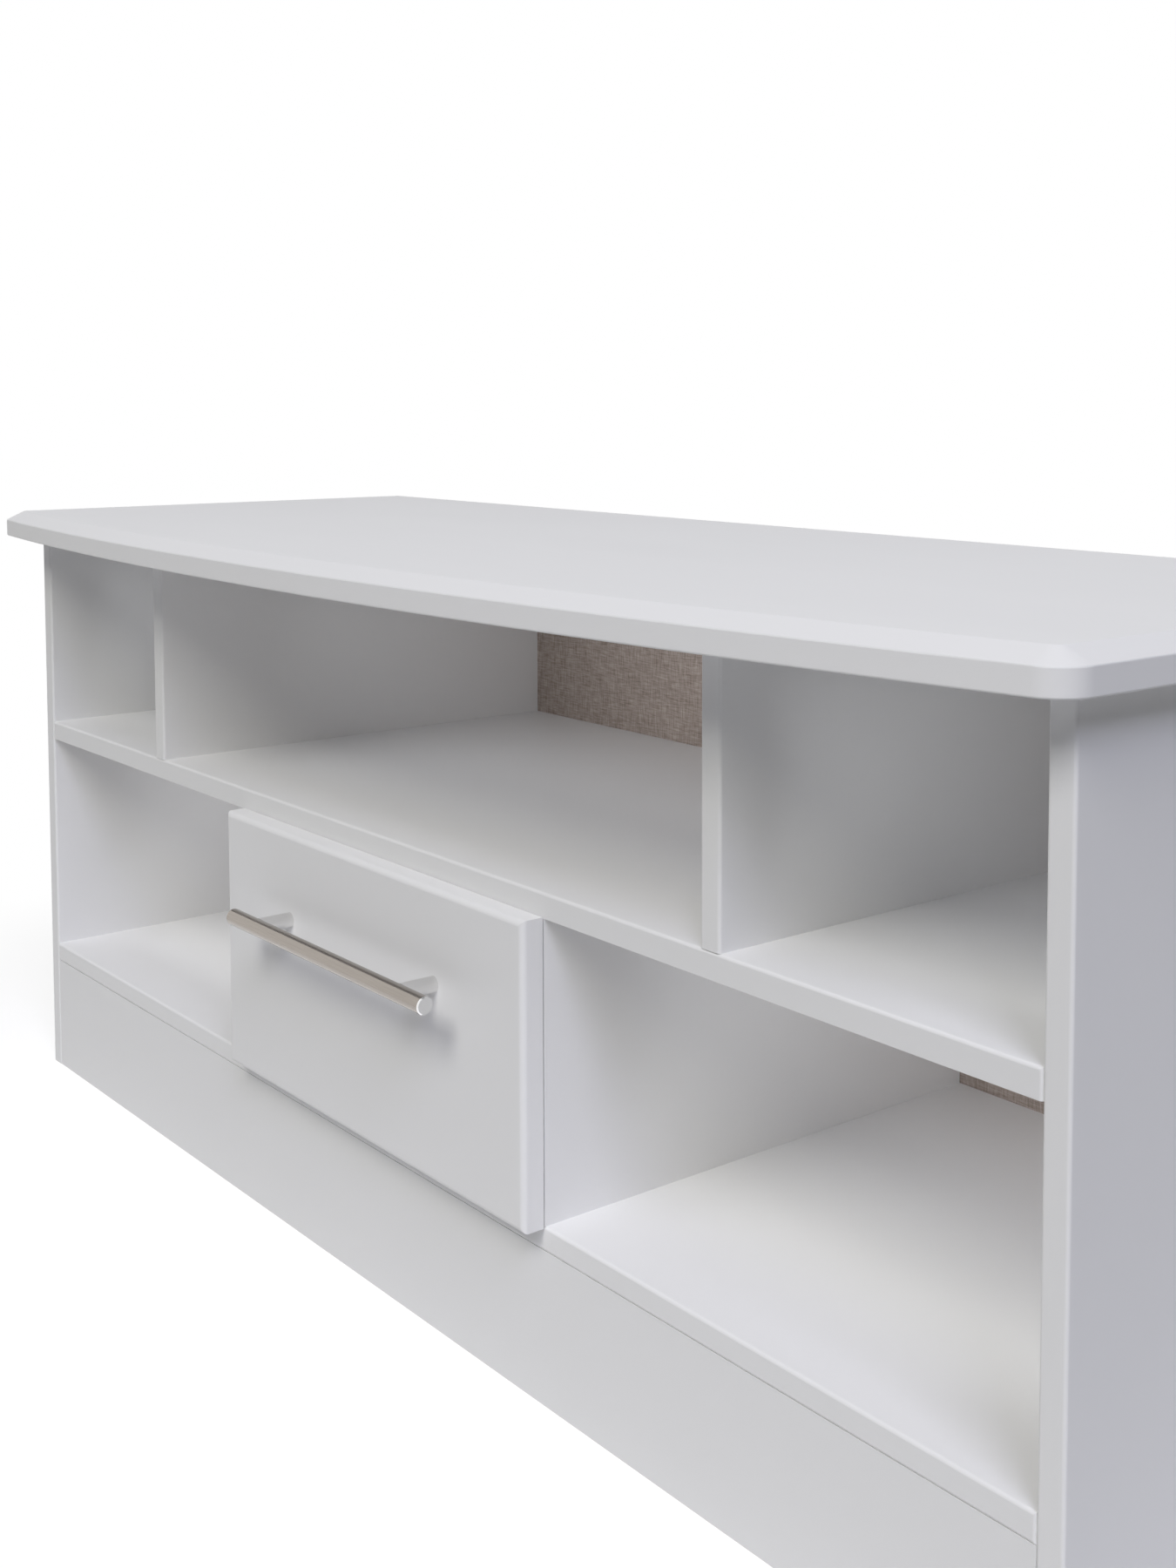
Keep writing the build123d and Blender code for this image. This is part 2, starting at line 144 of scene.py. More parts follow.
class Nodes:
    """A shader tree that is being written."""

    def __init__(self, tree):
        self.tree = tree
        tree.nodes.clear()

    def add(self, kind, settings=(), inputs=(), output=0):
        """Adds a node and gives one of its outputs."""
        node = self.tree.nodes.new(kind)
        for name, value in dict(settings).items():
            setattr(node, name, value)
        for key, value in dict(inputs).items():
            if isinstance(value, Wire):
                self.tree.links.new(value.output, node.inputs[key])
            else:
                node.inputs[key].default_value = value
        return Wire(self, node.outputs[output]) if node.outputs else node

    def place(self):
        """Where a point lies on the object, in metres."""
        return self.add("ShaderNodeTexCoord", output="Object")

    def axes(self, place):
        """The three coordinates of a place as wires."""
        split = self.add("ShaderNodeSeparateXYZ", inputs={0: place}).output.node
        return [Wire(self, output) for output in split.outputs]

    def noise(self, place, size, stretch=(1, 1, 1), detail=2.0, roughness=0.5):
        """Cloudy noise from 0 to 1, with lumps of about this size, drawn out along the axes."""
        scale = [1 / (size * along) for along in stretch]
        scaled = self.add("ShaderNodeMapping", inputs={"Vector": place, "Scale": scale})
        sockets = {"Vector": scaled, "Scale": 1.0, "Detail": detail, "Roughness": roughness}
        return self.add("ShaderNodeTexNoise", inputs=sockets)

    def blend(self, factor, first, second):
        """A colour between two colours, each a wire or three numbers."""
        first, second = [c if isinstance(c, Wire) else (*c, 1.0) for c in (first, second)]
        sockets = {mix_factor: factor, mix_first: first, mix_second: second}
        return self.add("ShaderNodeMix", {"data_type": "RGBA"}, sockets, output=mix_result)

    def bump(self, height, depth, strength):
        """A normal that is tilted by a height from 0 to 1, over this depth in metres."""
        sockets = {"Height": height, "Distance": depth, "Strength": strength}
        return self.add("ShaderNodeBump", inputs=sockets)


# %% Finishes
def finish(name, recipe):
    """A material whose recipe gives the sockets of one Principled shader."""
    material = bpy.data.materials.new(name)
    material.use_nodes = True
    nodes = Nodes(material.node_tree)
    sockets = recipe(nodes)
    shader = nodes.add("ShaderNodeBsdfPrincipled", inputs=sockets)
    nodes.add("ShaderNodeOutputMaterial", inputs={"Surface": shader})
    return material


def dress(material, *names):
    """Gives built pieces their finish."""
    for name in names:
        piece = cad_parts[name]
        piece.data.materials.clear()
        piece.data.materials.append(material)
    print(material.name, "on", len(names), "pieces")


# %% [markdown]
# ## White foil on the boards
# The boards are chipboard under a white satin foil. Foil isn't a flat colour: it has a fine
# pebble that breaks up reflections, and its gloss varies a little where the press went over it.
# Both are noise, kept far smaller than anything the eye reads as a pattern. The foil stops at the
# rear edges and at the feet, where the sawn chipboard shows, so one mask by place swaps to chips.

# %% White foil
rear_plane = built_high.y
sawn_margin = 0.0001
pebble_size, pebble_height = 0.0009, 0.12
press_tint = 0.35
board_specular = 0.3
foil_white = (0.86, 0.86, 0.865)
foil_grey = (0.84, 0.84, 0.845)
chip_light = (0.56, 0.43, 0.29)
chip_dark = (0.33, 0.23, 0.14)


def white_foil(nodes):
    place = nodes.place()
    _, y, z = nodes.axes(place)
    pebble = nodes.noise(place, size=pebble_size, detail=1.0)
    pressed = nodes.noise(place, size=0.06, stretch=(4, 1, 1))
    foil = nodes.blend(pressed * press_tint, foil_white, foil_grey)
    chips = nodes.noise(place, size=0.004, stretch=(2, 1, 0.6), detail=4.0, roughness=0.7)
    chipboard = nodes.blend(chips, chip_dark, chip_light)
    sawn = (y > rear_plane - sawn_margin).or_(z < sawn_margin)
    return {
        "Base Color": nodes.blend(sawn, foil, chipboard),
        "Roughness": 0.44 + pressed * 0.08 + sawn * 0.4,
        "Specular IOR Level": board_specular,
        "Normal": nodes.bump(pebble * pebble_height + sawn * chips, depth=0.0002, strength=0.35),
    }


white_boards = [
    "top_board", "left_side_panel", "right_side_panel", "base_board", "middle_shelf",
    "left_upper_divider", "right_upper_divider", "left_drawer_wall", "right_drawer_wall",
    "front_plinth", "rear_plinth_rail",
]
dress(finish("white_foil", white_foil), *white_boards)

# %% [markdown]
# ## The drawer
# The drawer front is wrapped in one piece of foil, drawn over its softened edges, so it has no
# sawn edges at all. The box behind it is plainer: thin boards under white paper, dull to the
# touch, on a bottom of hardboard that is white above and brown below.

# %% Drawer front
def wrapped_front(nodes):
    place = nodes.place()
    pebble = nodes.noise(place, size=pebble_size, detail=1.0)
    pressed = nodes.noise(place, size=0.05, stretch=(3, 1, 1))
    return {
        "Base Color": nodes.blend(pressed * press_tint, foil_white, foil_grey),
        "Roughness": 0.42 + pressed * 0.08,
        "Specular IOR Level": board_specular,
        "Normal": nodes.bump(pebble, depth=0.0002, strength=0.04),
    }


dress(finish("wrapped_front", wrapped_front), "drawer_front")

# %% Drawer box
paper_white = (0.76, 0.76, 0.75)
paper_grey = (0.70, 0.70, 0.69)
paper_tint = 0.6
hardboard_brown = (0.40, 0.28, 0.175)
hardboard_dark = (0.28, 0.185, 0.11)
bottom_low, bottom_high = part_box("drawer_bottom")
bottom_middle = (bottom_low.z + bottom_high.z) / 2


def papered_board(nodes):
    place = nodes.place()
    fibre = nodes.noise(place, size=0.0012, stretch=(1, 6, 1), detail=3.0)
    cloud = nodes.noise(place, size=0.08)
    return {
        "Base Color": nodes.blend(cloud * paper_tint, paper_white, paper_grey),
        "Roughness": 0.55 + fibre * 0.12,
        "Specular IOR Level": board_specular,
        "Normal": nodes.bump(fibre, depth=0.0002, strength=0.06),
    }


def drawer_hardboard(nodes):
    place = nodes.place()
    _, _, z = nodes.axes(place)
    fibre = nodes.noise(place, size=0.002, detail=4.0, roughness=0.7)
    cloud = nodes.noise(place, size=0.05)
    underside = z < bottom_middle
    paper = nodes.blend(cloud * paper_tint, paper_white, paper_grey)
    brown = nodes.blend(fibre, hardboard_dark, hardboard_brown)
    return {
        "Base Color": nodes.blend(underside, paper, brown),
        "Roughness": 0.5 + underside * 0.3,
        "Specular IOR Level": board_specular,
        "Normal": nodes.bump(fibre, depth=0.0003, strength=0.15),
    }


box_boards = ["drawer_inner_front", "drawer_back", "left_drawer_side", "right_drawer_side"]
dress(finish("papered_board", papered_board), *box_boards)
dress(finish("drawer_hardboard", drawer_hardboard), "drawer_bottom")

# %% [markdown]
# ## The linen back
# The back is thin hardboard with a brown linen printed on its inner face. Linen threads are
# uneven: each one swells and thins along its length. Noise that is drawn out along one axis makes
# a set of such threads, a second set crosses it, and a fine sine along each axis gives the regular
# over and under. The rear face is bare hardboard with the mark of the wire screen it dried on.

# %% Linen-print hardboard
thread_pitch = 0.0016
slub_width, slub_length = 0.7, 8
slub_contrast = 1.5
weave_contrast = 0.14
screen_pitch = 0.0022
screen_contrast = 0.1
linen_dark = (0.18, 0.14, 0.115)
linen_light = (0.48, 0.41, 0.37)
back_low, back_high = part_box("back_panel")
back_middle = (back_low.y + back_high.y) / 2


def over_and_under(x, z, pitch):
    """A plain weave of this pitch, from -1 to 1."""
    turns = 2 * math.pi / pitch
    return (x * turns).sine() * (z * turns).sine()


def linen_back(nodes):
    place = nodes.place()
    x, y, z = nodes.axes(place)
    slubs = {"size": thread_pitch, "detail": 3.0, "roughness": 0.6}
    upright = nodes.noise(place, stretch=(slub_width, 1, slub_length), **slubs)
    level = nodes.noise(place, stretch=(slub_length, 1, slub_width), **slubs)
    weave = over_and_under(x, z, thread_pitch)
    threads = (upright + level - 1) * slub_contrast + 0.5 + weave * weave_contrast
    linen = nodes.blend(threads, linen_dark, linen_light)
    rear = y > back_middle
    screen = over_and_under(x, z, screen_pitch)
    fibre = nodes.noise(place, size=0.003, detail=4.0, roughness=0.7)
    bare = nodes.blend(fibre + screen * screen_contrast, hardboard_dark, hardboard_brown)
    relief = threads * (1 - rear) + screen * rear
    return {
        "Base Color": nodes.blend(rear, linen, bare),
        "Roughness": 0.62 + rear * 0.2,
        "Specular IOR Level": board_specular,
        "Normal": nodes.bump(relief, depth=0.0002, strength=0.25),
    }


dress(finish("linen_back", linen_back), "back_panel")

# %% [markdown]
# ## The brushed handle
# The handle is brushed nickel. Brushing leaves fine lines along the bar, so its gloss and relief
# come from noise that is drawn out along the metal. The bar and the posts are the same nickel, but
# the bar's colour is darkened with painted shade for the dark things it would reflect, and the posts,
# which stand square to it, get a paler copy with painted sheen. The cut ends of the bar are polished,
# and a mask by place finds them.

# %% Handle
brushing = {"size": 0.0004, "detail": 3.0, "roughness": 0.6}
brush_length = 60
brush_depth, brush_strength = 0.00005, 0.15
# painted shade: the bar's nickel is darkened to stand in for dark reflections
bar_painted_shade_light = (0.44, 0.40, 0.36)
bar_painted_shade_dark = (0.30, 0.27, 0.24)
# painted sheen: the posts get a paler copy of the same nickel
post_painted_sheen_light = (0.88, 0.875, 0.87)
post_painted_sheen_dark = (0.76, 0.755, 0.75)
polished = (0.86, 0.86, 0.86)
bar_low, bar_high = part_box("handle_bar")
end_depth = 0.0009


def brushed_bar_painted_shade(nodes):
    place = nodes.place()
    x, _, _ = nodes.axes(place)
    lines = nodes.noise(place, stretch=(brush_length, 1, 1), **brushing)
    end = (x > bar_high.x - end_depth).or_(x < bar_low.x + end_depth)
    return {
        # the base colour of the bar carries painted shade
        "Base Color": nodes.blend(end, nodes.blend(lines, bar_painted_shade_dark, bar_painted_shade_light), polished),
        "Metallic": 1.0,
        "Roughness": 0.12 + lines * 0.08 - end * 0.04,
        "Normal": nodes.bump(lines * (1 - end), brush_depth, brush_strength),
    }


def brushed_post_painted_sheen(nodes):
    place = nodes.place()
    lines = nodes.noise(place, stretch=(1, brush_length, 1), **brushing)
    return {
        # the base colour of the posts carries painted sheen
        "Base Color": nodes.blend(lines, post_painted_sheen_dark, post_painted_sheen_light),
        "Metallic": 1.0,
        "Roughness": 0.14 + lines * 0.08,
        "Normal": nodes.bump(lines, brush_depth, brush_strength),
    }


dress(finish("brushed_bar_painted_shade", brushed_bar_painted_shade), "handle_bar")
dress(finish("brushed_post_painted_sheen", brushed_post_painted_sheen), "left_handle_post", "right_handle_post")

# %% [markdown]
# ## Steel, nylon and beech
# The runners are powder coated, which leaves a skin like that of an orange. The screws and pins are
# zinc plated, with a cloudy spangle. The rollers are nylon, and the dowels and glue blocks plain
# beech with its short dark flecks. Each is a little noise in colour, gloss and relief at the scale
# of the real thing, and the fittings that are modelled further on take these finishes too.

# %% Runners and screws
coat_dark, coat_light = (0.72, 0.72, 0.70), (0.80, 0.80, 0.78)
zinc_dark, zinc_light = (0.50, 0.51, 0.52), (0.66, 0.66, 0.64)


def powder_coat(nodes):
    place = nodes.place()
    peel = nodes.noise(place, size=0.0015)
    return {
        "Base Color": nodes.blend(peel, coat_dark, coat_light),
        "Roughness": 0.34 + peel * 0.1,
        "Normal": nodes.bump(peel, depth=0.0002, strength=0.15),
    }


def spangled_zinc(nodes):
    place = nodes.place()
    spangle = nodes.noise(place, size=0.0012, detail=3.0)
    return {
        "Base Color": nodes.blend(spangle, zinc_dark, zinc_light),
        "Metallic": 1.0,
        "Roughness": 0.25 + spangle * 0.15,
        "Normal": nodes.bump(spangle, depth=0.00005, strength=0.1),
    }


runners = ["left_cabinet_runner", "right_cabinet_runner", "left_drawer_runner", "right_drawer_runner"]
dress(finish("powder_coat", powder_coat), *runners)
zinc = finish("zinc_plate", spangled_zinc)
zinc_pieces = [
    "cabinet_runner_screws", "drawer_runner_screws", "drawer_front_screws", "handle_screws",
    "back_panel_pins", "cabinet_roller_pins", "drawer_roller_pins",
]
dress(zinc, *zinc_pieces)

# %% Rollers and dowels
nylon_dark, nylon_light = (0.74, 0.73, 0.68), (0.82, 0.81, 0.77)
beech_dark, beech_light = (0.50, 0.34, 0.20), (0.66, 0.48, 0.31)
fleck_brown = (0.36, 0.22, 0.12)
fleck_limit, fleck_tint = 0.62, 0.5


def cloudy_nylon(nodes):
    place = nodes.place()
    cloud = nodes.noise(place, size=0.003)
    return {
        "Base Color": nodes.blend(cloud, nylon_dark, nylon_light),
        "Roughness": 0.4 + cloud * 0.1,
        "Normal": nodes.bump(cloud, depth=0.0001, strength=0.1),
    }


def flecked_beech(nodes):
    place = nodes.place()
    grain = nodes.noise(place, size=0.002, stretch=(12, 1, 1), detail=3.0)
    flecks = nodes.noise(place, size=0.0008, stretch=(5, 1, 1), detail=1.0) > fleck_limit
    wood = nodes.blend(grain, beech_dark, beech_light)
    return {
        "Base Color": nodes.blend(flecks * fleck_tint, wood, fleck_brown),
        "Roughness": 0.55 + grain * 0.15,
        "Normal": nodes.bump(grain, depth=0.0002, strength=0.2),
    }


nylon = finish("moulded_nylon", cloudy_nylon)
rollers = ["left_front_roller", "right_front_roller", "left_rear_roller", "right_rear_roller"]
dress(nylon, *rollers)
beech = finish("plain_beech", flecked_beech)
beech_pieces = [
    "top_dowels", "shelf_dowels", "base_dowels", "upper_divider_dowels", "drawer_wall_dowels",
    "plinth_dowels", "drawer_box_dowels", "plinth_glue_blocks",
]
dress(beech, *beech_pieces)

# %% [markdown]
# ## Finding the fasteners
# In the built cabinet each screw, pin and dowel is a plain rod, many to a group. By hand one would
# split a copy of a group into its loose solids and read the box of each, and so does this helper.
# The copy is measured and deleted, because a built piece itself is never touched.

# %% Boxes of the loose solids
merge_distance = 0.000001


def loose_boxes(name):
    """The lowest and highest corner of each separate solid in a built group."""
    bpy.ops.object.select_all(action="DESELECT")
    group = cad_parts[name].copy()
    group.data = group.data.copy()
    bpy.context.collection.objects.link(group)
    group.select_set(True)
    bpy.context.view_layer.objects.active = group
    bpy.ops.object.mode_set(mode="EDIT")
    bpy.ops.mesh.select_all(action="SELECT")
    bpy.ops.mesh.remove_doubles(threshold=merge_distance)
    bpy.ops.mesh.separate(type="LOOSE")
    bpy.ops.object.mode_set(mode="OBJECT")
    boxes = []
    for solid in bpy.context.selected_objects:
        points = [vertex.co for vertex in solid.data.vertices]
        boxes.append((Vector(map(min, zip(*points))), Vector(map(max, zip(*points)))))
    bpy.ops.object.delete()
    return sorted(boxes, key=lambda box: tuple(box[0]))


def heads(name, way):
    """Where the head of each fastener in a group is, and the way that it faces."""
    found = []
    for low, high in loose_boxes(name):
        middle = (low + high) / 2
        facing = Vector(way(middle))
        reach = abs((high - low).dot(facing)) / 2
        found.append((middle + facing * reach, facing))
    return found


print("loose solids in handle_screws:", len(loose_boxes("handle_screws")))

# %% [markdown]
# ## Turned pieces
# Screws, pins, rollers and dowels are all round, and can be drawn as a lathe hand would cut them: a
# disc is drawn out step by step, and each step is scaled to its own radius. For a piece with a hole
# the start is a bare ring, drawn along the whole section and back to where it began. A dowel's
# flutes come from pulling in every other point of the disc before it is drawn out. A finished model
# is copied to each spot that a rod marks, and the copies are joined into one piece.

# %% A lathe made of extrusions
smooth_angle = math.radians(35)


def start(primitive, **size):
    """Adds a primitive with nothing else selected, and opens it for editing."""
    bpy.ops.object.select_all(action="DESELECT")
    primitive(**size)
    bpy.ops.object.mode_set(mode="EDIT")
    bpy.ops.mesh.select_mode(type="VERT")
    bpy.ops.mesh.select_all(action="SELECT")
    return bpy.context.object


def turn(section, sides, hollow=False, flute=1.0):
    """A round piece along Z, through each (radius, height) of its section in turn."""
    radius, height = section[0]
    fill = "NOTHING" if hollow else "NGON"
    piece = start(bpy.ops.mesh.primitive_circle_add, vertices=sides, radius=radius, fill_type=fill)
    if flute < 1:
        bpy.ops.mesh.select_nth(skip=1, nth=1)
        bpy.ops.transform.resize(value=(flute, flute, 1), center_override=(0, 0, 0))
        bpy.ops.mesh.select_all(action="SELECT")
    bpy.ops.transform.translate(value=(0, 0, height))
    steps = section[1:] + section[:1] if hollow else section[1:]
    for next_radius, next_height in steps:
        move = {"value": (0, 0, next_height - height)}
        bpy.ops.mesh.extrude_region_move(TRANSFORM_OT_translate=move)
        scale = next_radius / radius
        bpy.ops.transform.resize(value=(scale, scale, 1), center_override=(0, 0, 0))
        radius, height = next_radius, next_height
    bpy.ops.mesh.select_all(action="SELECT")
    bpy.ops.mesh.remove_doubles(threshold=merge_distance)
    bpy.ops.mesh.normals_make_consistent(inside=False)
    bpy.ops.object.mode_set(mode="OBJECT")
    bpy.ops.object.shade_smooth_by_angle(angle=smooth_angle)
    return piece


# %% Copies in place
def put(model, name, spots, body, node, material):
    """Copies a model to every spot, joins the copies and puts them in the node's place."""
    copies = []
    for place, facing in spots:
        bpy.ops.object.select_all(action="DESELECT")
        model.select_set(True)
        bpy.context.view_layer.objects.active = model
        bpy.ops.object.duplicate(linked=False)
        copy = bpy.context.object
        copy.location = place
        copy.rotation_euler = facing.to_track_quat("Z", "Y").to_euler()
        copies.append(copy)
    bpy.ops.object.select_all(action="DESELECT")
    for copy in copies:
        copy.select_set(True)
    bpy.context.view_layer.objects.active = copies[0]
    if len(copies) > 1:
        bpy.ops.object.join()
    bpy.ops.object.transform_apply(location=True, rotation=True, scale=True)
    piece = bpy.context.object
    piece.name = name
    piece.data.materials.clear()
    piece.data.materials.append(material)
    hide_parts(node)
    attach(piece, body)
    print(name, "has", len(copies), "copies and", len(piece.data.polygons), "faces")


# %% [markdown]
# ## Cross-head screws
# The drawer is held together by screws with a cross recess. A head is turned with a low crown, then
# a cutter is taken out of it: a grid of three by three squares without its corners is a cross, and
# drawing that downwards to a smaller size gives the tapered recess. The shank has a ring for each
# turn of its thread. Screws of one kind are modelled once, and copied to wherever a rod marks one.

# %% Threads and recesses
thread_root = 0.76
thread_flank = 0.4
point_length, point_radius = 1.6, 0.1
crown = 0.00025
recess_squares = 3
recess_taper = 0.5


def threaded(shank, top, length, pitch):
    """The section of a threaded shank from its top down to its point."""
    turns = int((length + top - shank * 2) / pitch)
    section = []
    for number in range(turns):
        crest = top - pitch * (number + 0.5)
        section += [(shank * thread_root, crest + pitch * thread_flank), (shank, crest)]
    point = [(shank * thread_root, shank * point_length - length), (shank * point_radius, -length)]
    return section + point


def cross_recess(screw, width, depth):
    """Cuts a tapered cross into the top of a screw."""
    squares = {"x_subdivisions": recess_squares, "y_subdivisions": recess_squares}
    cutter = start(bpy.ops.mesh.primitive_grid_add, size=width, **squares)
    bpy.ops.mesh.select_mode(type="FACE")
    bpy.ops.mesh.select_all(action="DESELECT")
    bpy.ops.object.mode_set(mode="OBJECT")
    half_square = width / recess_squares / 2
    for face in cutter.data.polygons:
        face.select = min(abs(face.center.x), abs(face.center.y)) > half_square
    bpy.ops.object.mode_set(mode="EDIT")
    bpy.ops.mesh.delete(type="FACE")
    bpy.ops.mesh.select_all(action="SELECT")
    above = crown * 2
    bpy.ops.transform.translate(value=(0, 0, above))
    bpy.ops.mesh.extrude_region_move(TRANSFORM_OT_translate={"value": (0, 0, -depth - above)})
    bpy.ops.transform.resize(value=(recess_taper, recess_taper, 1), center_override=(0, 0, 0))
    bpy.ops.mesh.select_all(action="SELECT")
    bpy.ops.mesh.normals_make_consistent(inside=False)
    bpy.ops.object.mode_set(mode="OBJECT")
    bpy.ops.object.select_all(action="DESELECT")
    bpy.context.view_layer.objects.active = screw
    bpy.ops.object.modifier_add(type="BOOLEAN")
    screw.modifiers[-1].object = cutter
    bpy.ops.object.modifier_apply(modifier=screw.modifiers[-1].name)
    bpy.data.objects.remove(cutter)


# %% Two kinds of screw
screw_sides = 24


def sunk_screw(head, shank, length, pitch):
    """A countersunk screw, its crowned head just proud of the face that it is sunk in."""
    crowned = [(head * 0.5, crown), (head * 0.85, crown * 0.8), (head, 0), (shank, shank - head)]
    screw = turn(crowned + threaded(shank, shank - head, length, pitch), screw_sides)
    cross_recess(screw, width=head * 1.1, depth=head * 0.55)
    return screw


def pan_screw(head, height, shank, length, pitch):
    """A machine screw with a rounded head, whose top is at height zero."""
    rounded = [(head * 0.45, 0), (head * 0.75, -height * 0.12), (head * 0.93, -height * 0.38)]
    flank = [(head, -height * 0.65), (head, -height), (shank, -height)]
    screw = turn(rounded + flank + threaded(shank, -height, length, pitch), screw_sides)
    cross_recess(screw, width=head, depth=head * 0.45)
    return screw


# %% Screws in place
def to_rear(middle):
    return (0, 1, 0)


def to_drawer(middle):
    return (-math.copysign(1, middle.x), 0, 0)


def from_drawer(middle):
    return (math.copysign(1, middle.x), 0, 0)


pan = pan_screw(head=0.004, height=0.0024, shank=0.002, length=0.0384, pitch=0.0012)
spots = heads("handle_screws", to_rear)
put(pan, "handle_machine_screws", spots, "drawer", "handle_screws", zinc)
bpy.data.objects.remove(pan)
long_sunk = sunk_screw(head=0.0037, shank=0.00175, length=0.024, pitch=0.0014)
spots = heads("drawer_front_screws", to_rear)
put(long_sunk, "front_fixing_screws", spots, "drawer", "drawer_front_screws", zinc)
bpy.data.objects.remove(long_sunk)
short_sunk = sunk_screw(head=0.0032, shank=0.00175, length=0.0092, pitch=0.0014)
spots = heads("cabinet_runner_screws", to_drawer)
put(short_sunk, "channel_fixing_screws", spots, "carcass", "cabinet_runner_screws", zinc)
spots = heads("drawer_runner_screws", from_drawer)
put(short_sunk, "rail_fixing_screws", spots, "drawer", "drawer_runner_screws", zinc)
bpy.data.objects.remove(short_sunk)

# %% [markdown]
# ## Rollers and their pins
# A runner roller is moulded nylon: a tread with softened edges, a thin web between two hollows, and
# a hub that keeps the web off the steel. Its section is drawn round once and closed on itself. Each
# roller rides on its own body, so that it turns as the drawer goes. The pins have a domed head that
# keeps the roller on, as a rivet does.

# %% Rollers
roller_sides = 48
roller_bore = 0.00205


def roller_wheel(radius, width, bore):
    """A moulded roller about Z: hub, hollow, rim and tread on both faces."""
    half = width / 2
    one_face = [
        (bore, half * 0.92), (bore * 1.06, half), (bore * 1.75, half), (bore * 1.85, half * 0.94),
        (bore * 1.9, half * 0.62), (radius * 0.76, half * 0.62), (radius * 0.79, half * 0.90),
        (radius * 0.82, half * 0.95), (radius * 0.92, half * 0.95), (radius * 0.98, half * 0.86),
        (radius, half * 0.70),
    ]
    other_face = [(r, -height) for r, height in reversed(one_face)]
    return turn(one_face + other_face, roller_sides, hollow=True)


roller_low, roller_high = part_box("left_front_roller")
roller_radius = (roller_high.z - roller_low.z) / 2
roller_width = roller_high.x - roller_low.x
wheel = roller_wheel(roller_radius, roller_width, roller_bore)
for roller in rollers:
    low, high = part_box(roller)
    spots = [((low + high) / 2, Vector((1, 0, 0)))]
    put(wheel, roller + "_wheel", spots, roller, roller, nylon)
bpy.data.objects.remove(wheel)

# %% Roller pins
pin_sides = 32
pin_head, pin_head_height = 0.0035, 0.001
pin_shank, pin_length = 0.002, 0.0091
dome_section = [(0.4, 0), (0.75, 0.2), (0.95, 0.5), (1, 0.8), (1, 1)]
domed_head = [(pin_head * across, -pin_head_height * down) for across, down in dome_section]
pin = turn(domed_head + [(pin_shank, -pin_head_height), (pin_shank, -pin_length)], pin_sides)
spots = heads("cabinet_roller_pins", to_drawer)
put(pin, "channel_roller_rivets", spots, "carcass", "cabinet_roller_pins", zinc)
spots = heads("drawer_roller_pins", from_drawer)
put(pin, "rail_roller_rivets", spots, "drawer", "drawer_roller_pins", zinc)
bpy.data.objects.remove(pin)

# %% [markdown]
# ## Panel pins and dowels
# The back is held by thin round-headed pins, driven until the head just dents the hardboard. The
# dowels are out of sight once the cabinet is glued up, but they are what holds it, so they get their
# real form: fluted so that glue can escape, with tapered ends that find the hole.

# %% Pins in the back
nail_sides = 20
nail_head, nail_crown, nail_head_depth = 0.0019, 0.0002, 0.0004
nail_shank, nail_length, nail_point = 0.0008, 0.016, 0.002
nail_top = [(nail_head * 0.5, nail_crown), (nail_head * 0.85, nail_crown * 0.75)]
nail_rim = [(nail_head, nail_crown * 0.1), (nail_head, -nail_head_depth)]
nail_neck = [(nail_shank, -nail_head_depth * 1.25), (nail_shank, nail_point - nail_length)]
nail_tip = [(nail_shank * 0.1, -nail_length)]
nail = turn(nail_top + nail_rim + nail_neck + nail_tip, nail_sides)
spots = heads("back_panel_pins", to_rear)
put(nail, "back_panel_nails", spots, "carcass", "back_panel_pins", zinc)
bpy.data.objects.remove(nail)

# %% Fluted dowels
dowel_sides = 24
flute_pull = 0.93
dowel_end, dowel_taper = 0.75, 0.4
board_dowel = (0.004, 0.030)
box_dowel = (0.003, 0.024)


def dowel(radius, length):
    """A fluted dowel from height zero down, with tapered ends."""
    taper = radius * dowel_taper
    end = radius * dowel_end
    section = [(end, 0), (radius, -taper), (radius, taper - length), (end, -length)]
    return turn(section, dowel_sides, flute=flute_pull)


def upwards(middle):
    return (0, 0, 1)


dowel_groups = {
    "top_dowels": (upwards, board_dowel, "carcass"),
    "upper_divider_dowels": (upwards, board_dowel, "carcass"),
    "drawer_wall_dowels": (upwards, board_dowel, "carcass"),
    "shelf_dowels": (from_drawer, board_dowel, "carcass"),
    "base_dowels": (from_drawer, board_dowel, "carcass"),
    "plinth_dowels": (from_drawer, board_dowel, "carcass"),
    "drawer_box_dowels": (from_drawer, box_dowel, "drawer"),
}
for group, (way, size, body) in dowel_groups.items():
    fluted = dowel(*size)
    put(fluted, "fluted_" + group, heads(group, way), body, group, beech)
    bpy.data.objects.remove(fluted)

# %% [markdown]
# ## Floor and backdrop
# A white cabinet on white is drawn by its own shading alone, so the backdrop must not compete. The
# floor and the dome look white to the camera and in reflections, but they light the cabinet at a
# plain level: Light Path tells a look at the background from the light that it sends out. Near the
# cabinet the floor is a real matt sheet, which takes the shadow and throws light up. It is no larger
# than a roll of studio paper, so less of that light gets high up, and what the top overhangs stays
# in shade. Towards its border the sheet fades to plain white, so that no edge or horizon shows.

# %% Floor
floor_size = 2.4
floor_colour = (0.72, 0.72, 0.72, 1.0)
floor_lift = 0.5
fade_start, fade_length = 0.72, 0.46

bpy.ops.object.select_all(action="DESELECT")
bpy.ops.mesh.primitive_plane_add(size=floor_size, location=(0, 0, 0))
floor = bpy.context.object
floor.name = "floor"


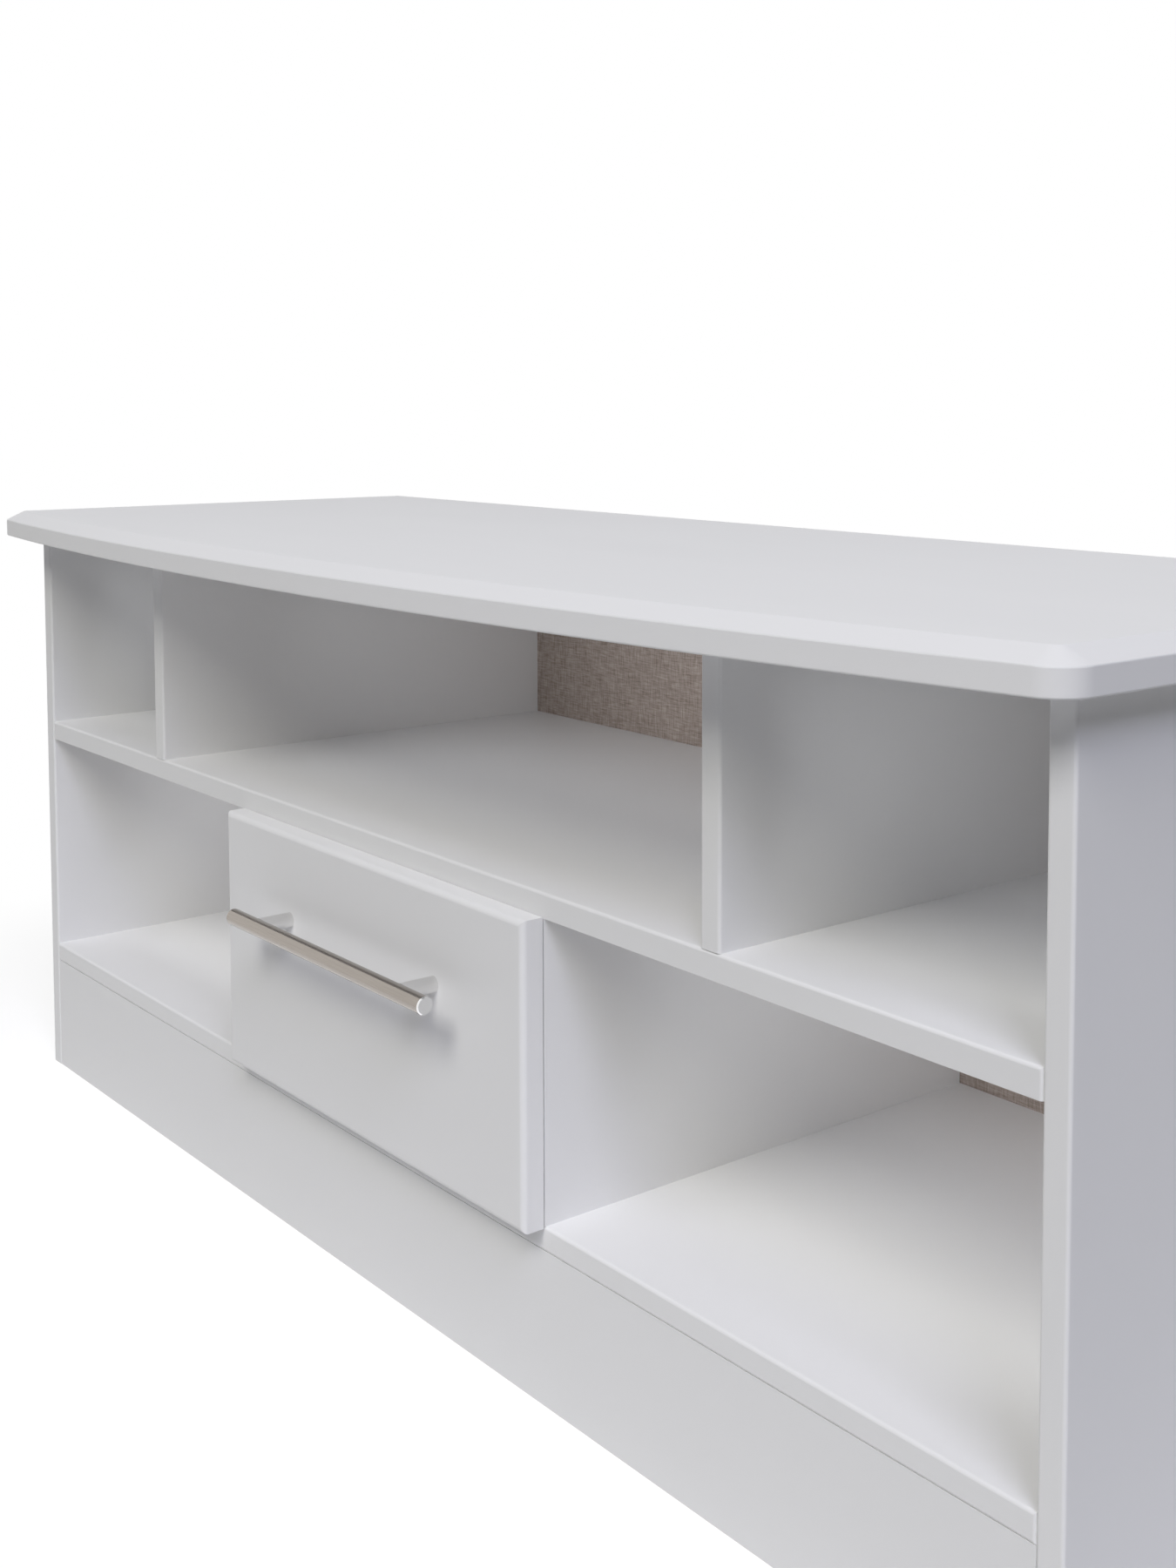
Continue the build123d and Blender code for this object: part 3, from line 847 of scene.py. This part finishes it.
def looked_at(nodes):
    """1 for a ray from the camera or a mirror image of the scene, and 0 for one that lights it."""
    rays = nodes.add("ShaderNodeLightPath").output.node
    kinds = ("Is Camera Ray", "Is Glossy Ray", "Is Transmission Ray")
    from_camera, in_mirror, through_glass = [Wire(nodes, rays.outputs[kind]) for kind in kinds]
    return from_camera.or_(in_mirror).or_(through_glass)


floor_finish = bpy.data.materials.new("pale_floor")
floor_finish.use_nodes = True
nodes = Nodes(floor_finish.node_tree)
matt = nodes.add("ShaderNodeBsdfDiffuse", inputs={"Color": floor_colour})
glow = nodes.add("ShaderNodeEmission", inputs={"Strength": floor_lift})
lifted = nodes.add("ShaderNodeAddShader", inputs={0: matt, 1: glow})
plain = nodes.add("ShaderNodeEmission", inputs={"Strength": 1.0})
measure = {"operation": "LENGTH"}
distance = nodes.add("ShaderNodeVectorMath", measure, {0: nodes.place()}, output="Value")
fade_span = {0: distance, 1: fade_start, 2: fade_start + fade_length}
fade = nodes.add("ShaderNodeMapRange", inputs=fade_span)
faded = nodes.add("ShaderNodeMixShader", inputs={0: fade, 1: lifted, 2: plain})
shown = nodes.add("ShaderNodeMixShader", inputs={0: looked_at(nodes), 1: matt, 2: faded})
nodes.add("ShaderNodeOutputMaterial", inputs={"Surface": shown})
floor.data.materials.append(floor_finish)
print("floor sheet of", floor_size, "m")

# %% Dome
dome_colour = (1, 1, 1, 1)
dome_level = 0.06

world = bpy.data.worlds.new("dome")
bpy.context.scene.world = world
world.use_nodes = True
nodes = Nodes(world.node_tree)
dim = nodes.add("ShaderNodeBackground", inputs={"Color": dome_colour, "Strength": dome_level})
white = nodes.add("ShaderNodeBackground", inputs={"Color": dome_colour, "Strength": 1.0})
both = nodes.add("ShaderNodeMixShader", inputs={0: looked_at(nodes), 1: dim, 2: white})
nodes.add("ShaderNodeOutputWorld", inputs={"Surface": both})
print("dome lights at", dome_level)

# %% [markdown]
# ## Light panels
# A large panel stands before the front and a cooler one to its right, both well above the cabinet,
# so that the top is the brightest face, the fronts come next and the right end is cool. A low panel
# behind lights the back and the left end, which the others can't reach. All are far off, so that
# the light hardly falls off from end to end, and none shows in the metal.

# %% Panels
aim = Vector((0, 0, 0.3))
panel_distance = 8.0
# azimuth and elevation in degrees, size in metres, power in watts, colour
panels = {
    "front_panel": (-67, 46, 3.0, 304.0, (1.0, 0.99, 0.935)),
    "right_panel": (-25, 46, 2.8, 256.0, (0.83, 0.845, 1.0)),
    "rear_panel": (135, 4, 1.6, 262.0, (1.0, 1.0, 1.0)),
}
for name, (azimuth, elevation, size, power, colour) in panels.items():
    turned, raised = math.radians(azimuth), math.radians(elevation)
    level = panel_distance * math.cos(raised)
    rise = panel_distance * math.sin(raised)
    place = aim + Vector((level * math.cos(turned), level * math.sin(turned), rise))
    bpy.ops.object.light_add(type="AREA", location=place)
    panel = bpy.context.object
    panel.name = name
    panel.rotation_euler = (aim - place).to_track_quat("-Z", "Y").to_euler()
    panel.data.size = size
    panel.data.energy = power
    panel.data.color = colour
    panel.visible_glossy = False
print("light panels:", ", ".join(panels))

# %% [markdown]
# ## Cards in the bays
# Deep white bays swallow light, so each one gets a small, slightly cool card in its mouth that sends
# a little light inwards, as a photographer would hold one there. Its spread is narrowed, so that the
# light reaches the back and not only the front of the walls. The cards can't be seen.

# %% Cards
shelf_low, shelf_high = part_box("middle_shelf")
top_low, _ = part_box("top_board")
_, base_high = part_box("base_board")
divider_low, divider_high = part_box("right_upper_divider")
_, wall_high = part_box("right_drawer_wall")
bay_end = shelf_high.x
card_inset = 0.0055
card_y = shelf_low.y + card_inset
card_width_share, card_height_share = 0.8, 0.7
card_spread = math.radians(84)
card_colour = (0.96, 0.975, 1.0)
# left, right, low and high side of each mouth in metres, power in watts
bays = {
    "upper_left": (-bay_end, -divider_high.x, shelf_high.z, top_low.z, 0.070),
    "upper_middle": (-divider_low.x, divider_low.x, shelf_high.z, top_low.z, 0.258),
    "upper_right": (divider_high.x, bay_end, shelf_high.z, top_low.z, 0.071),
    "lower_left": (-bay_end, -wall_high.x, base_high.z, shelf_low.z, 0.214),
    "lower_right": (wall_high.x, bay_end, base_high.z, shelf_low.z, 0.205),
}
for name, (left, right, low, high, power) in bays.items():
    middle = ((left + right) / 2, card_y, (low + high) / 2)
    bpy.ops.object.light_add(type="AREA", location=middle, rotation=(math.radians(90), 0, 0))
    card = bpy.context.object
    card.name = name + "_card"
    card.data.shape = "RECTANGLE"
    card.data.size = (right - left) * card_width_share
    card.data.size_y = (high - low) * card_height_share
    card.data.spread = card_spread
    card.data.energy = power
    card.data.color = card_colour
    card.visible_camera = False
    card.visible_glossy = False
print("cards in the bays:", ", ".join(bays))

# %% [markdown]
# ## View transform
# Colours are shown as they are written, with no film look on top.

# %% View transform
bpy.context.scene.view_settings.view_transform = "Standard"
